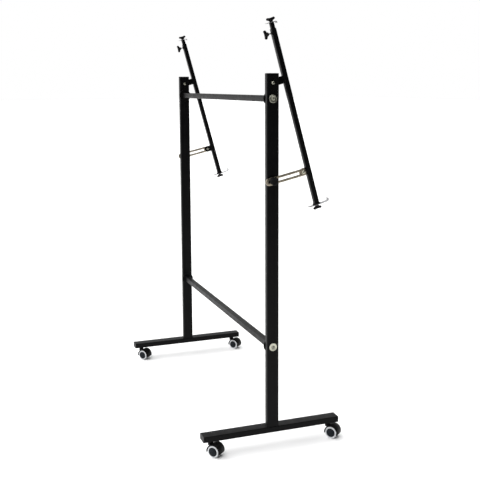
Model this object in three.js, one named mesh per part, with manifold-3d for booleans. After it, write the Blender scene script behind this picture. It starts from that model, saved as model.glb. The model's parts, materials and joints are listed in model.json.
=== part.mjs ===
// Mobile H-frame stand with two tilting telescopic arms that hold a flat panel between hooks.
// Millimetres. +Z is up, the arms are on the front (-Y) side, left is -X.

import * as THREE from 'three';
import { mergeVertices } from 'three/addons/utils/BufferGeometryUtils.js';
import Module from 'manifold-3d';

const wasm = await Module();
wasm.setup();

const DEG = Math.PI / 180;
const GAP = 0.3;
const ROUND = 24;
const SMALL_ROUND = 12;

// Side frames: one upright welded on one foot. Both side frames are the same weldment.
const UPRIGHT_X = 622.5;
const UPRIGHT_WIDTH = 25;
const UPRIGHT_DEPTH = 50;
const UPRIGHT_HEIGHT = 1428;
const TUBE_WALL = 1.5;
const TUBE_CORNER = 3;
const FOOT_WIDTH = 50;
const FOOT_HEIGHT = 25;
const FOOT_LENGTH = 590;
const CASTER_HEIGHT = 64;
const FOOT_TOP = CASTER_HEIGHT + FOOT_HEIGHT;
const FOOT_OFFSET = (FOOT_WIDTH - UPRIGHT_WIDTH) / 2;
const UPRIGHT_TOP = FOOT_TOP + UPRIGHT_HEIGHT;
const CAP_PLATE = 2;
const CAP_WALL = 2;
const CAP_EDGE = 0.5;
const FOOT_CAP_DEPTH = 14;
const UPRIGHT_CAP_DEPTH = 6;

// Crossbars and the screws that hold them.
const BAR_SIZE = 25;
const BAR_CORNER = 2;
const UPPER_BAR_Z = 1421;
const LOWER_BAR_Z = 427;
const FLANGE_RADIUS = 30;
const FLANGE_THICKNESS = 4;
const INSERT_LENGTH = 18;
const SCREW_RADIUS = 4;
const SCREW_SHORTFALL = 2;
const SCREW_POINT = 0.8;
const SCREW_HEAD = [[0, 7], [1, 7], [2.8, 6], [4, 4.3], [4.4, 3.5], [4.4, 0]];
const SCREW_HEAD_HEIGHT = 4.4;
const SOCKET_RADIUS = 2.9;
const SOCKET_DEPTH = 2.6;
const WASHER_RADIUS = 16;
const WASHER_THICKNESS = 2;

// Arms. In the arm's own frame z runs up the arm, y points to the rear.
const ARM_TILT = 15.4;
const ARM_Y = -50.6;
const ARM_Z = 1519;
const ARM_SIZE = 20;
const ARM_CORNER = 2;
const ARM_BOTTOM = -536;
const ARM_TOP = 175;
const EXTENSION_SIZE = 16;
const EXTENSION_BOTTOM = -402;
const EXTENSION_TOP = 198;
const END_BLOCK = 14;
const TAB_THICKNESS = 4;
const HINGE_Y = 58.5;
const HINGE_Z = -22.7;
const TAB_RADIUS = 15;
const HINGE_SLOT_HALF_WIDTH = 3;
const HINGE_SLOT_BOTTOM = 1463;
const HINGE_SLOT_TOP = 1509;
const PIN_RADIUS = 4;
const HINGE_PIN_TAIL = [[-2, 0], [-2, 4.2], [-1.2, 5.5], [0, 5.5]];
const HINGE_PIN_HEAD = [[0, 6], [1.6, 6], [3.2, 5], [4, 3.2], [4, 0]];
const LOCK_Z = 159;
const LOCK_BOSS_RADIUS = 6;
const LOCK_BOSS_HEIGHT = 3;
const LOCK_KNOB_Y = 24;

// Slotted stays that set the tilt, with the clamp knob on the upright.
const STAY_PIVOT_Y = 27;
const STAY_PIVOT_Z = -394.5;
const STAY_TAB_REACH = 42;
const STAY_CLAMP_Y = 0;
const STAY_CLAMP_Z = 1101.5;
const STAY_WIDTH = 29;
const STAY_CORNER = 4;
const STAY_THICKNESS = 3;
const STAY_NOSE = 9;
const STAY_LENGTH = 150.5;
const STAY_SLOT_START = 23.3;
const STAY_SLOT_WIDTH = 9.6;
const STAY_RIVET_TAIL = [[-2, 0], [-2, 5.5], [0, 6.5]];
const STAY_RIVET_COLLAR = 7;
const STAY_RIVET_HEAD = [[0, 7], [1.4, 7], [3, 5.8], [3.8, 3.6], [3.8, 0]];
const CLAMP_STUD_RADIUS = 3;
const CLAMP_STUD_TIP = -4;
const CLAMP_KNOB = [[0, 9], [2.5, 8], [5.5, 15], [7.5, 17], [13.9, 17], [15.9, 15.4],
  [16.9, 12], [16.9, 0]];

// Hooks, the plug under each arm and the wing knobs.
const HOOK_WIDTH = 20;
const HOOK_THICKNESS = 2;
const HOOK_SLOT_HALF_WIDTH = 3.4;
const BOTTOM_HOOK_TRAVEL = 12;
const TOP_HOOK_TRAVEL = 8;
const BOTTOM_HOOK_FRONT = 45;
const BOTTOM_HOOK_REAR = 30;
const BOTTOM_CURL_RADIUS = 7;
const BOTTOM_CURL_TIP = [-51.2, 12.5];
const BOTTOM_KICK = [[34, 0.8], [38, 2.4]];
const TOP_HOOK_FRONT = 15;
const TOP_HOOK_REAR = 23;
const TOP_BEND_RADIUS = 4;
const TOP_LIP_DROP = 7.5;
const PLUG_RADIUS = 16;
const PLUG_FLANGE = 4;
const PLUG_LENGTH = 20;
const PLUG_CHAMFER = 0.8;
const KNOB_LOBE_X = 12.6;
const KNOB_LOBE_Z = 12.7;
const KNOB_LOBE_RADIUS = 4.8;
const KNOB_HUB_RADIUS = 7.5;
const KNOB_HUB_HEIGHT = 8;
const KNOB_THICKNESS = 9;
const KNOB_STUD_RADIUS = 3;
const KNOB_STUD = 13;
const WING_START = -35;
const WING_END = 125;
const WING_ROOT_X = 6.5;
const WING_ROOT_LOW = 0.5;
const WING_ROOT_HIGH = 4;
const WING_DIP = 14.6;

// Twin-wheel swivel casters. In the caster's own frame +x is the trailing direction.
const CASTER_Y = 260;
const CASTER_HEADING = 222;
const TRAIL = 22;
const WHEEL_RADIUS = 25;
const WHEEL_FACE = 22.6;
const WHEEL_INNER = 4.6;
const WHEEL_SHOULDER = [[-3.4, 25], [-1.2, 24.2], [0, 22]];
const WHEEL_INNER_CHAMFER = 2;
const HUB_DOME = 28.3;
const HUB_CROWN = [[-2, 14], [0, 6], [0, 0]];
const HUB_RADIUS = 19;
const HOOD_INNER = 26.5;
const HOOD_OUTER = 29.5;
const HOOD_HALF_WIDTH = 24;
const HOOD_START = -18;
const HOOD_END = 188;
const WEB_HALF_WIDTH = 3.5;
const WEB_RADIUS = 20;
const NECK_RADIUS = 8.5;
const NECK_BOTTOM = 42;
const NECK_TOP = 61.5;
const NECK_TAPER = 4;
const COLLAR_RADIUS = 7.5;
const STEM_RADIUS = 5;
const STEM_TOP = 85;
const AXLE_RADIUS = 4;
const AXLE_HALF_LENGTH = 20.5;
const AXLE_CHAMFER = 0.8;

// Finishes.
const BLACK_PAINT = { color: 0x1c1d1f, roughness: 0.5, metalness: 0.3 };
const ZINC = { color: 0xb9b4a4, roughness: 0.35, metalness: 0.9 };
const BRIGHT_ZINC = { color: 0xc6c8ca, roughness: 0.35, metalness: 0.9 };
const BLACK_PLASTIC = { color: 0x151516, roughness: 0.6, metalness: 0 };
const GREY_PLASTIC = { color: 0x6f7072, roughness: 0.6, metalness: 0 };
const WHEEL_GREY = { color: 0xb4b6b8, roughness: 0.7, metalness: 0 };

const X_AXIS = new THREE.Vector3(1, 0, 0);
const Y_AXIS = new THREE.Vector3(0, 1, 0);
const Z_AXIS = new THREE.Vector3(0, 0, 1);

// ---- Solid helpers ----

function toManifold(geometry) {
  const bare = geometry.clone();
  bare.deleteAttribute('normal');
  bare.deleteAttribute('uv');
  const merged = mergeVertices(bare, 1e-4);
  const corners = merged.index.array;
  const kept = [];
  for (let i = 0; i < corners.length; i += 3) {
    const [a, b, c] = [corners[i], corners[i + 1], corners[i + 2]];
    if (a !== b && b !== c && c !== a) kept.push(a, b, c);
  }
  return new wasm.Manifold(new wasm.Mesh({
    numProp: 3,
    vertProperties: new Float32Array(merged.attributes.position.array),
    triVerts: new Uint32Array(kept),
  }));
}

function combine(base, additions = [], cuts = []) {
  let body = toManifold(base);
  for (const part of additions) body = body.add(toManifold(part));
  for (const part of cuts) body = body.subtract(toManifold(part));
  const mesh = body.getMesh();
  const geometry = new THREE.BufferGeometry();
  geometry.setAttribute('position', new THREE.BufferAttribute(mesh.vertProperties, 3));
  geometry.setIndex(new THREE.BufferAttribute(mesh.triVerts, 1));
  geometry.computeVertexNormals();
  return geometry;
}

function piece(name, geometry, finish) {
  const mesh = new THREE.Mesh(geometry, new THREE.MeshStandardMaterial(finish));
  mesh.name = name;
  return mesh;
}

function place(object, x, y, z) {
  object.position.set(x, y, z);
  return object;
}

function box(x0, x1, y0, y1, z0, z1) {
  const geometry = new THREE.BoxGeometry(x1 - x0, y1 - y0, z1 - z0);
  geometry.translate((x0 + x1) / 2, (y0 + y1) / 2, (z0 + z1) / 2);
  return geometry;
}

// Turned body from [distance along the axis, radius] pairs, starting and ending on the axis
// or closing on itself.
function turned(profile, direction, segments = ROUND) {
  const points = profile.map(([along, radius]) => new THREE.Vector2(radius, along));
  const geometry = new THREE.LatheGeometry(points, segments);
  const turn = new THREE.Quaternion().setFromUnitVectors(Y_AXIS, direction);
  geometry.applyQuaternion(turn);
  return geometry;
}

// Copy of a profile moved along its axis.
function shifted(start, profile) {
  return profile.map(([along, radius]) => [start + along, radius]);
}

function rod(direction, radius, from, to, segments = ROUND) {
  return turned([[from, 0], [from, radius], [to, radius], [to, 0]], direction, segments);
}

function roundedRectangle(width, height, corner) {
  const [x, y] = [width / 2, height / 2];
  const shape = new THREE.Shape();
  shape.moveTo(x, -y + corner);
  shape.absarc(x - corner, y - corner, corner, 0, 90 * DEG);
  shape.absarc(-x + corner, y - corner, corner, 90 * DEG, 180 * DEG);
  shape.absarc(-x + corner, -y + corner, corner, 180 * DEG, 270 * DEG);
  shape.absarc(x - corner, -y + corner, corner, 270 * DEG, 360 * DEG);
  return shape;
}

function extrudeUp(shape, from, to, curveSegments = 3) {
  const geometry = new THREE.ExtrudeGeometry(shape, {
    depth: to - from, bevelEnabled: false, curveSegments,
  });
  geometry.translate(0, 0, from);
  return geometry;
}

// Plate whose outline is drawn in y (first) and z (second), between x0 and x1.
function sidePlate(shape, x0, x1, curveSegments = 8) {
  const geometry = extrudeUp(shape, x0, x1, curveSegments);
  geometry.applyMatrix4(new THREE.Matrix4().makeBasis(Y_AXIS, Z_AXIS, X_AXIS));
  return geometry;
}

// Plate whose outline is drawn in x (first) and z (second), centred on y = 0.
function frontPlate(shape, halfWidth, curveSegments = 18) {
  const geometry = extrudeUp(shape, -halfWidth, halfWidth, curveSegments);
  geometry.rotateX(90 * DEG);
  return geometry;
}

function squareTube(width, depth, wall, corner, from, to) {
  const shape = roundedRectangle(width, depth, corner);
  shape.holes.push(roundedRectangle(width - 2 * wall, depth - 2 * wall, corner - wall));
  return extrudeUp(shape, from, to);
}

// Slot outline between two end centres along the first axis.
function slotShape(start, end, halfWidth) {
  const shape = new THREE.Shape();
  shape.absarc(end, 0, halfWidth, -90 * DEG, 90 * DEG);
  shape.absarc(start, 0, halfWidth, 90 * DEG, 270 * DEG);
  return shape;
}

// Outline of a bent strip of even thickness along a list of centreline points.
function stripShape(points, thickness) {
  const half = thickness / 2;
  const offset = (index, side) => {
    const before = points[Math.max(index - 1, 0)];
    const after = points[Math.min(index + 1, points.length - 1)];
    const along = after.clone().sub(before).normalize();
    return new THREE.Vector2(-along.y, along.x).multiplyScalar(side * half).add(points[index]);
  };
  const left = points.map((_, index) => offset(index, 1));
  const right = points.map((_, index) => offset(index, -1));
  return new THREE.Shape([...right, ...left.reverse()]);
}

function arcPoints(centreX, centreY, radius, from, to, count) {
  return Array.from({ length: count + 1 }, (_, index) => {
    const angle = (from + (to - from) * index / count) * DEG;
    return new THREE.Vector2(centreX + radius * Math.cos(angle), centreY + radius * Math.sin(angle));
  });
}

// ---- Side frames ----

function uprightTube(side) {
  const outward = X_AXIS.clone().multiplyScalar(side);
  const half = UPRIGHT_WIDTH / 2;
  const base = FOOT_TOP + GAP;
  const tube = squareTube(UPRIGHT_WIDTH, UPRIGHT_DEPTH, TUBE_WALL, TUBE_CORNER, base, UPRIGHT_TOP);
  const hingeSlot = box(-HINGE_SLOT_HALF_WIDTH, HINGE_SLOT_HALF_WIDTH,
    -UPRIGHT_DEPTH / 2 - 1, -UPRIGHT_DEPTH / 2 + 2 * TUBE_WALL, HINGE_SLOT_BOTTOM, HINGE_SLOT_TOP);
  const pinHole = rod(X_AXIS, PIN_RADIUS + GAP, -half - 1, half + 1, SMALL_ROUND);
  const [hingeY, hingeZ] = armToFrame(HINGE_Y, HINGE_Z);
  pinHole.translate(0, hingeY, hingeZ);
  const studHole = rod(outward, CLAMP_STUD_RADIUS + GAP, 0, half + 1, SMALL_ROUND);
  studHole.translate(0, STAY_CLAMP_Y, STAY_CLAMP_Z);
  const screwHoles = [UPPER_BAR_Z, LOWER_BAR_Z].map((height) => {
    const hole = rod(X_AXIS, SCREW_RADIUS + GAP, -half - 1, half + 1, SMALL_ROUND);
    hole.translate(0, 0, height);
    return hole;
  });
  return combine(tube, [], [hingeSlot, pinHole, studHole, ...screwHoles]);
}

// Moulded end cap: a plate with a softened edge and a hollow plug that goes into the tube.
function endCap(width, depth, plugDepth) {
  const plate = extrudeUp(roundedRectangle(width, depth, TUBE_CORNER), GAP, CAP_PLATE / 2 + GAP);
  const skin = extrudeUp(roundedRectangle(width - 2 * CAP_EDGE, depth - 2 * CAP_EDGE,
    TUBE_CORNER - CAP_EDGE), GAP, CAP_PLATE);
  const inside = 2 * (TUBE_WALL + GAP);
  const plug = squareTube(width - inside, depth - inside, CAP_WALL, CAP_WALL + GAP,
    -plugDepth, GAP + CAP_PLATE / 2);
  return combine(plate, [skin, plug]);
}

function footTube() {
  const tube = squareTube(FOOT_WIDTH, FOOT_HEIGHT, TUBE_WALL, TUBE_CORNER,
    -FOOT_LENGTH / 2, FOOT_LENGTH / 2);
  tube.rotateX(90 * DEG);
  const stemHoles = [-CASTER_Y, CASTER_Y].map((y) => {
    const hole = rod(Z_AXIS, STEM_RADIUS + GAP, -FOOT_HEIGHT / 2 - 1, 0, SMALL_ROUND);
    hole.translate(0, y, 0);
    return hole;
  });
  return combine(tube, [], stemHoles);
}

function sideFrame(name, side) {
  const group = new THREE.Group();
  group.name = `side_frame_${name}`;
  const upright = piece(`upright_${name}`, uprightTube(side), BLACK_PAINT);
  const capShape = endCap(UPRIGHT_WIDTH, UPRIGHT_DEPTH, UPRIGHT_CAP_DEPTH);
  const cap = place(piece(`upright_cap_${name}`, capShape, BLACK_PLASTIC), 0, 0, UPRIGHT_TOP);
  const foot = piece(`foot_${name}`, footTube(), BLACK_PAINT);
  place(foot, FOOT_OFFSET, 0, CASTER_HEIGHT + FOOT_HEIGHT / 2);
  const footCap = (end, direction) => {
    const shape = endCap(FOOT_WIDTH, FOOT_HEIGHT, FOOT_CAP_DEPTH);
    const mesh = piece(`foot_cap_${name}_${end}`, shape, GREY_PLASTIC);
    mesh.rotation.x = -direction * 90 * DEG;
    return place(mesh, FOOT_OFFSET, direction * FOOT_LENGTH / 2, foot.position.z);
  };
  group.add(upright, cap, foot, footCap('front', -1), footCap('rear', 1));
  return place(group, side * UPRIGHT_X, 0, 0);
}

// ---- Crossbars ----

function crossbarWeldment() {
  const half = UPRIGHT_X - UPRIGHT_WIDTH / 2 - GAP;
  const tube = squareTube(BAR_SIZE, BAR_SIZE, TUBE_WALL, BAR_CORNER, -half, half);
  const inside = BAR_SIZE / 2 - TUBE_WALL / 2;
  const blocks = [box(-inside, inside, -inside, inside, half - INSERT_LENGTH, half),
    box(-inside, inside, -inside, inside, -half, -half + INSERT_LENGTH)];
  const flanges = [rod(Z_AXIS, FLANGE_RADIUS, half - FLANGE_THICKNESS, half),
    rod(Z_AXIS, FLANGE_RADIUS, -half, -half + FLANGE_THICKNESS)];
  const depth = INSERT_LENGTH + FLANGE_THICKNESS;
  const holes = [rod(Z_AXIS, SCREW_RADIUS + GAP, half - depth, half + 1, SMALL_ROUND),
    rod(Z_AXIS, SCREW_RADIUS + GAP, -half - 1, -half + depth, SMALL_ROUND)];
  const geometry = combine(tube, [...blocks, ...flanges], holes);
  geometry.rotateY(90 * DEG);
  return geometry;
}

// Button-head socket screw; distances are measured outward from the upright's middle plane.
function crossbarScrew(side) {
  const outward = X_AXIS.clone().multiplyScalar(side);
  const seat = UPRIGHT_WIDTH / 2 + GAP + WASHER_THICKNESS + GAP;
  const crown = seat + SCREW_HEAD_HEIGHT;
  const tip = -UPRIGHT_WIDTH / 2 - FLANGE_THICKNESS - INSERT_LENGTH + SCREW_SHORTFALL;
  const body = turned([[tip, 0], [tip, SCREW_RADIUS - SCREW_POINT],
    [tip + SCREW_POINT, SCREW_RADIUS], [seat, SCREW_RADIUS],
    ...shifted(seat, SCREW_HEAD)], outward, SMALL_ROUND);
  const socket = rod(outward, SOCKET_RADIUS, crown - SOCKET_DEPTH, crown + 1, 6);
  return combine(body, [], [socket]);
}

function pennyWasher(side) {
  const outward = X_AXIS.clone().multiplyScalar(side);
  const inner = UPRIGHT_WIDTH / 2 + GAP;
  const outer = inner + WASHER_THICKNESS;
  const hole = SCREW_RADIUS + GAP;
  const ring = turned([[inner, hole], [inner, WASHER_RADIUS], [outer, WASHER_RADIUS],
    [outer, hole], [inner, hole]], outward);
  return combine(ring);
}

function crossbar(name, height) {
  const group = new THREE.Group();
  group.name = `crossbar_group_${name}`;
  group.add(piece(`crossbar_${name}`, crossbarWeldment(), BLACK_PAINT));
  for (const [sideName, side] of [['left', -1], ['right', 1]]) {
    const screw = piece(`crossbar_screw_${name}_${sideName}`, crossbarScrew(side), ZINC);
    const washer = piece(`crossbar_washer_${name}_${sideName}`, pennyWasher(side), ZINC);
    group.add(place(screw, side * UPRIGHT_X, 0, 0), place(washer, side * UPRIGHT_X, 0, 0));
  }
  return place(group, 0, 0, height);
}

// ---- Arms ----

// Position in the stand's Y and Z of a point given in the arm's own y and z.
function armToFrame(y, z) {
  const [sin, cos] = [Math.sin(ARM_TILT * DEG), Math.cos(ARM_TILT * DEG)];
  return [ARM_Y + y * cos + z * sin, ARM_Z - y * sin + z * cos];
}

function lugShape(reach, radius) {
  const shape = new THREE.Shape();
  shape.moveTo(ARM_SIZE / 2 - 1, -radius);
  shape.lineTo(reach - radius, -radius);
  shape.absarc(reach - radius, 0, radius, -90 * DEG, 90 * DEG);
  shape.lineTo(ARM_SIZE / 2 - 1, radius);
  return shape;
}

function armTube(side) {
  const outward = X_AXIS.clone().multiplyScalar(side);
  const tube = squareTube(ARM_SIZE, ARM_SIZE, TUBE_WALL, ARM_CORNER, ARM_BOTTOM, ARM_TOP);
  const hingeLug = sidePlate(lugShape(HINGE_Y + TAB_RADIUS, TAB_RADIUS),
    -TAB_THICKNESS / 2, TAB_THICKNESS / 2);
  hingeLug.translate(0, 0, HINGE_Z);
  const tabCentre = side * (ARM_SIZE - TAB_THICKNESS) / 2;
  const stayLug = sidePlate(lugShape(STAY_TAB_REACH, TAB_RADIUS),
    tabCentre - TAB_THICKNESS / 2, tabCentre + TAB_THICKNESS / 2);
  stayLug.translate(0, 0, STAY_PIVOT_Z);
  const wallMiddle = (ARM_SIZE - TUBE_WALL) / 2;
  const boss = rod(Y_AXIS, LOCK_BOSS_RADIUS, wallMiddle, ARM_SIZE / 2 + LOCK_BOSS_HEIGHT, SMALL_ROUND);
  boss.translate(0, 0, LOCK_Z);
  const pinHole = rod(X_AXIS, PIN_RADIUS + GAP, -ARM_SIZE, ARM_SIZE, SMALL_ROUND);
  pinHole.translate(0, HINGE_Y, HINGE_Z);
  const rivetHole = rod(outward, PIN_RADIUS + GAP, 0, ARM_SIZE, SMALL_ROUND);
  rivetHole.translate(0, STAY_PIVOT_Y, STAY_PIVOT_Z);
  const lockHole = rod(Y_AXIS, KNOB_STUD_RADIUS + GAP, 0, ARM_SIZE, SMALL_ROUND);
  lockHole.translate(0, 0, LOCK_Z);
  return combine(tube, [hingeLug, stayLug, boss], [pinHole, rivetHole, lockHole]);
}

function armExtension() {
  const tube = squareTube(EXTENSION_SIZE, EXTENSION_SIZE, TUBE_WALL, ARM_CORNER,
    EXTENSION_BOTTOM, EXTENSION_TOP);
  const inside = (EXTENSION_SIZE - TUBE_WALL) / 2;
  const block = box(-inside, inside, -inside, inside, EXTENSION_TOP - END_BLOCK, EXTENSION_TOP);
  const hole = rod(Z_AXIS, KNOB_STUD_RADIUS + GAP, EXTENSION_TOP - END_BLOCK - 1,
    EXTENSION_TOP + 1, SMALL_ROUND);
  return combine(tube, [block], [hole]);
}

function armPlug() {
  const top = ARM_BOTTOM - GAP;
  const inside = ARM_SIZE - 2 * (TUBE_WALL + GAP);
  const low = top - PLUG_FLANGE;
  const flange = turned([[low, 0], [low, PLUG_RADIUS - PLUG_CHAMFER],
    [low + PLUG_CHAMFER, PLUG_RADIUS], [top - PLUG_CHAMFER, PLUG_RADIUS],
    [top, PLUG_RADIUS - PLUG_CHAMFER], [top, 0]], Z_AXIS);
  const body = extrudeUp(roundedRectangle(inside, inside, 1), top - 1, top + PLUG_LENGTH);
  const hole = rod(Z_AXIS, KNOB_STUD_RADIUS + GAP, low - 1, top + PLUG_LENGTH + 1,
    SMALL_ROUND);
  return combine(flange, [body], [hole]);
}

function hookBody(centreline, travel) {
  const strip = sidePlate(stripShape(centreline, HOOK_THICKNESS), -HOOK_WIDTH / 2, HOOK_WIDTH / 2);
  const slot = extrudeUp(slotShape(-travel, travel, HOOK_SLOT_HALF_WIDTH),
    -HOOK_THICKNESS * 2, HOOK_THICKNESS * 2, 8);
  slot.rotateZ(90 * DEG);
  return combine(strip, [], [slot]);
}

// Bottom hook: its front end curls up round the panel's lower edge, its rear end kicks up.
// The plug flange covers the strip between the two flat points next to the slot.
function bottomHook() {
  const radius = BOTTOM_CURL_RADIUS;
  const curl = arcPoints(-BOTTOM_HOOK_FRONT, radius, radius, 270, 170, 10);
  const flat = [-PLUG_RADIUS - 1, PLUG_RADIUS + 1, BOTTOM_HOOK_REAR];
  const centreline = [new THREE.Vector2(...BOTTOM_CURL_TIP), ...curl.reverse(),
    ...flat.map((y) => new THREE.Vector2(y, 0)),
    ...BOTTOM_KICK.map((point) => new THREE.Vector2(...point))];
  return hookBody(centreline, BOTTOM_HOOK_TRAVEL);
}

// Top hook: its front end turns down in front of the panel's upper edge.
function topHook() {
  const radius = TOP_BEND_RADIUS;
  const bend = arcPoints(-TOP_HOOK_FRONT, -radius, radius, 180, 90, 6);
  const tip = new THREE.Vector2(-TOP_HOOK_FRONT - radius, -TOP_LIP_DROP);
  const centreline = [tip, ...bend, new THREE.Vector2(0, 0), new THREE.Vector2(TOP_HOOK_REAR, 0)];
  return hookBody(centreline, TOP_HOOK_TRAVEL);
}

// Wing knob with its stud: the axis is +z, the wings lie along y, the base is at z = 0.
function wingKnob(studLength) {
  const shape = new THREE.Shape();
  shape.moveTo(WING_ROOT_X, WING_ROOT_LOW);
  shape.lineTo(WING_ROOT_X, WING_ROOT_HIGH);
  shape.absarc(KNOB_LOBE_X, KNOB_LOBE_Z, KNOB_LOBE_RADIUS, WING_START * DEG, WING_END * DEG);
  shape.quadraticCurveTo(0, WING_DIP,
    -KNOB_LOBE_X - KNOB_LOBE_RADIUS * Math.cos(WING_END * DEG),
    KNOB_LOBE_Z + KNOB_LOBE_RADIUS * Math.sin(WING_END * DEG));
  shape.absarc(-KNOB_LOBE_X, KNOB_LOBE_Z, KNOB_LOBE_RADIUS,
    (180 - WING_END) * DEG, (180 - WING_START) * DEG);
  shape.lineTo(-WING_ROOT_X, WING_ROOT_HIGH);
  shape.lineTo(-WING_ROOT_X, WING_ROOT_LOW);
  const wings = sidePlate(shape, -KNOB_THICKNESS / 2, KNOB_THICKNESS / 2, 7);
  const hub = rod(Z_AXIS, KNOB_HUB_RADIUS, 0, KNOB_HUB_HEIGHT, SMALL_ROUND);
  const stud = rod(Z_AXIS, KNOB_STUD_RADIUS, -studLength, 1, SMALL_ROUND);
  return combine(wings, [hub, stud]);
}

// Riveted pins; distances are measured outward from the arm's middle plane.
function hingePin(side) {
  const half = UPRIGHT_WIDTH / 2 + GAP;
  const outward = X_AXIS.clone().multiplyScalar(side);
  return combine(turned([...shifted(-half, HINGE_PIN_TAIL), [-half, PIN_RADIUS],
    [half, PIN_RADIUS], ...shifted(half, HINGE_PIN_HEAD)], outward, SMALL_ROUND));
}

function stayRivet(side) {
  const tabInner = ARM_SIZE / 2 - TAB_THICKNESS - GAP;
  const tabOuter = ARM_SIZE / 2 + GAP;
  const stayInner = UPRIGHT_WIDTH / 2;
  const stayOuter = UPRIGHT_WIDTH / 2 + STAY_THICKNESS + 2 * GAP;
  const outward = X_AXIS.clone().multiplyScalar(side);
  return combine(turned([...shifted(tabInner, STAY_RIVET_TAIL), [tabInner, PIN_RADIUS],
    [tabOuter, PIN_RADIUS], [tabOuter, STAY_RIVET_COLLAR], [stayInner, STAY_RIVET_COLLAR],
    [stayInner, PIN_RADIUS], [stayOuter, PIN_RADIUS],
    ...shifted(stayOuter, STAY_RIVET_HEAD)], outward, SMALL_ROUND));
}

// Flat slotted bar: y runs from the pivot to the clamp.
function stayBar(side) {
  const inner = UPRIGHT_WIDTH / 2 + GAP;
  const [x0, x1] = [side * inner, side * (inner + STAY_THICKNESS)].sort((a, b) => a - b);
  const half = STAY_WIDTH / 2;
  const corner = STAY_CORNER;
  const shape = new THREE.Shape();
  shape.moveTo(-STAY_NOSE + corner, -half);
  shape.absarc(STAY_LENGTH, 0, half, -90 * DEG, 90 * DEG);
  shape.absarc(-STAY_NOSE + corner, half - corner, corner, 90 * DEG, 180 * DEG);
  shape.absarc(-STAY_NOSE + corner, -half + corner, corner, 180 * DEG, 270 * DEG);
  const bar = sidePlate(shape, x0, x1);
  const slot = sidePlate(slotShape(STAY_SLOT_START, STAY_LENGTH, STAY_SLOT_WIDTH / 2),
    x0 - 1, x1 + 1);
  const hole = rod(X_AXIS, PIN_RADIUS + GAP, x0 - 1, x1 + 1, SMALL_ROUND);
  return combine(bar, [], [slot, hole]);
}

// Round clamp knob with its stud; distances are measured outward from the upright's middle.
function stayKnob(side) {
  const seat = UPRIGHT_WIDTH / 2 + STAY_THICKNESS + 2 * GAP;
  const outward = X_AXIS.clone().multiplyScalar(side);
  return combine(turned([[CLAMP_STUD_TIP, 0], [CLAMP_STUD_TIP, CLAMP_STUD_RADIUS],
    [seat, CLAMP_STUD_RADIUS], ...shifted(seat, CLAMP_KNOB)], outward));
}

function arm(name, side) {
  const group = new THREE.Group();
  group.name = `arm_${name}`;
  const hookTop = EXTENSION_TOP + GAP + HOOK_THICKNESS / 2;
  const hookBottom = ARM_BOTTOM - PLUG_FLANGE - 2 * GAP - HOOK_THICKNESS / 2;
  const seat = HOOK_THICKNESS / 2 + GAP;
  const tube = piece(`arm_tube_${name}`, armTube(side), BLACK_PAINT);
  const extension = piece(`arm_extension_${name}`, armExtension(), BLACK_PAINT);
  const plug = piece(`arm_plug_${name}`, armPlug(), BLACK_PLASTIC);
  const upperHook = place(piece(`top_hook_${name}`, topHook(), BRIGHT_ZINC), 0, 0, hookTop);
  const lowerHook = place(piece(`bottom_hook_${name}`, bottomHook(), BRIGHT_ZINC), 0, 0, hookBottom);
  const topKnob = piece(`top_hook_knob_${name}`, wingKnob(KNOB_STUD), BLACK_PLASTIC);
  place(topKnob, 0, 0, hookTop + seat);
  const bottomKnob = piece(`bottom_hook_knob_${name}`, wingKnob(KNOB_STUD), BLACK_PLASTIC);
  bottomKnob.rotation.x = 180 * DEG;
  place(bottomKnob, 0, 0, hookBottom - seat);
  const lockStud = LOCK_KNOB_Y - EXTENSION_SIZE / 2 - GAP;
  const lockKnob = piece(`extension_knob_${name}`, wingKnob(lockStud), BLACK_PLASTIC);
  lockKnob.rotation.x = -90 * DEG;
  place(lockKnob, 0, LOCK_KNOB_Y, LOCK_Z);
  const pin = place(piece(`hinge_pin_${name}`, hingePin(side), ZINC), 0, HINGE_Y, HINGE_Z);
  const rivet = piece(`stay_rivet_${name}`, stayRivet(side), ZINC);
  place(rivet, 0, STAY_PIVOT_Y, STAY_PIVOT_Z);
  const stay = place(piece(`stay_${name}`, stayBar(side), ZINC), 0, STAY_PIVOT_Y, STAY_PIVOT_Z);
  const [pivotY, pivotZ] = armToFrame(STAY_PIVOT_Y, STAY_PIVOT_Z);
  const stayAngle = Math.atan2(STAY_CLAMP_Z - pivotZ, STAY_CLAMP_Y - pivotY);
  stay.rotation.x = stayAngle + ARM_TILT * DEG;
  group.add(tube, extension, plug, upperHook, lowerHook, topKnob, bottomKnob, lockKnob);
  group.add(pin, rivet, stay);
  group.rotation.x = -ARM_TILT * DEG;
  return place(group, side * UPRIGHT_X, ARM_Y, ARM_Z);
}

function clampKnob(name, side) {
  const mesh = piece(`stay_knob_${name}`, stayKnob(side), BLACK_PLASTIC);
  return place(mesh, side * UPRIGHT_X, STAY_CLAMP_Y, STAY_CLAMP_Z);
}

// ---- Casters ----

function sectorShape(outer, inner) {
  const shape = new THREE.Shape();
  shape.absarc(TRAIL, WHEEL_RADIUS, outer, HOOD_START * DEG, HOOD_END * DEG);
  if (inner > 0) shape.absarc(TRAIL, WHEEL_RADIUS, inner, HOOD_END * DEG, HOOD_START * DEG, true);
  else shape.lineTo(TRAIL, WHEEL_RADIUS);
  return shape;
}

function acrossWheel(radius, from, to, segments) {
  const geometry = rod(Y_AXIS, radius, from, to, segments);
  geometry.translate(TRAIL, 0, WHEEL_RADIUS);
  return geometry;
}

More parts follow.
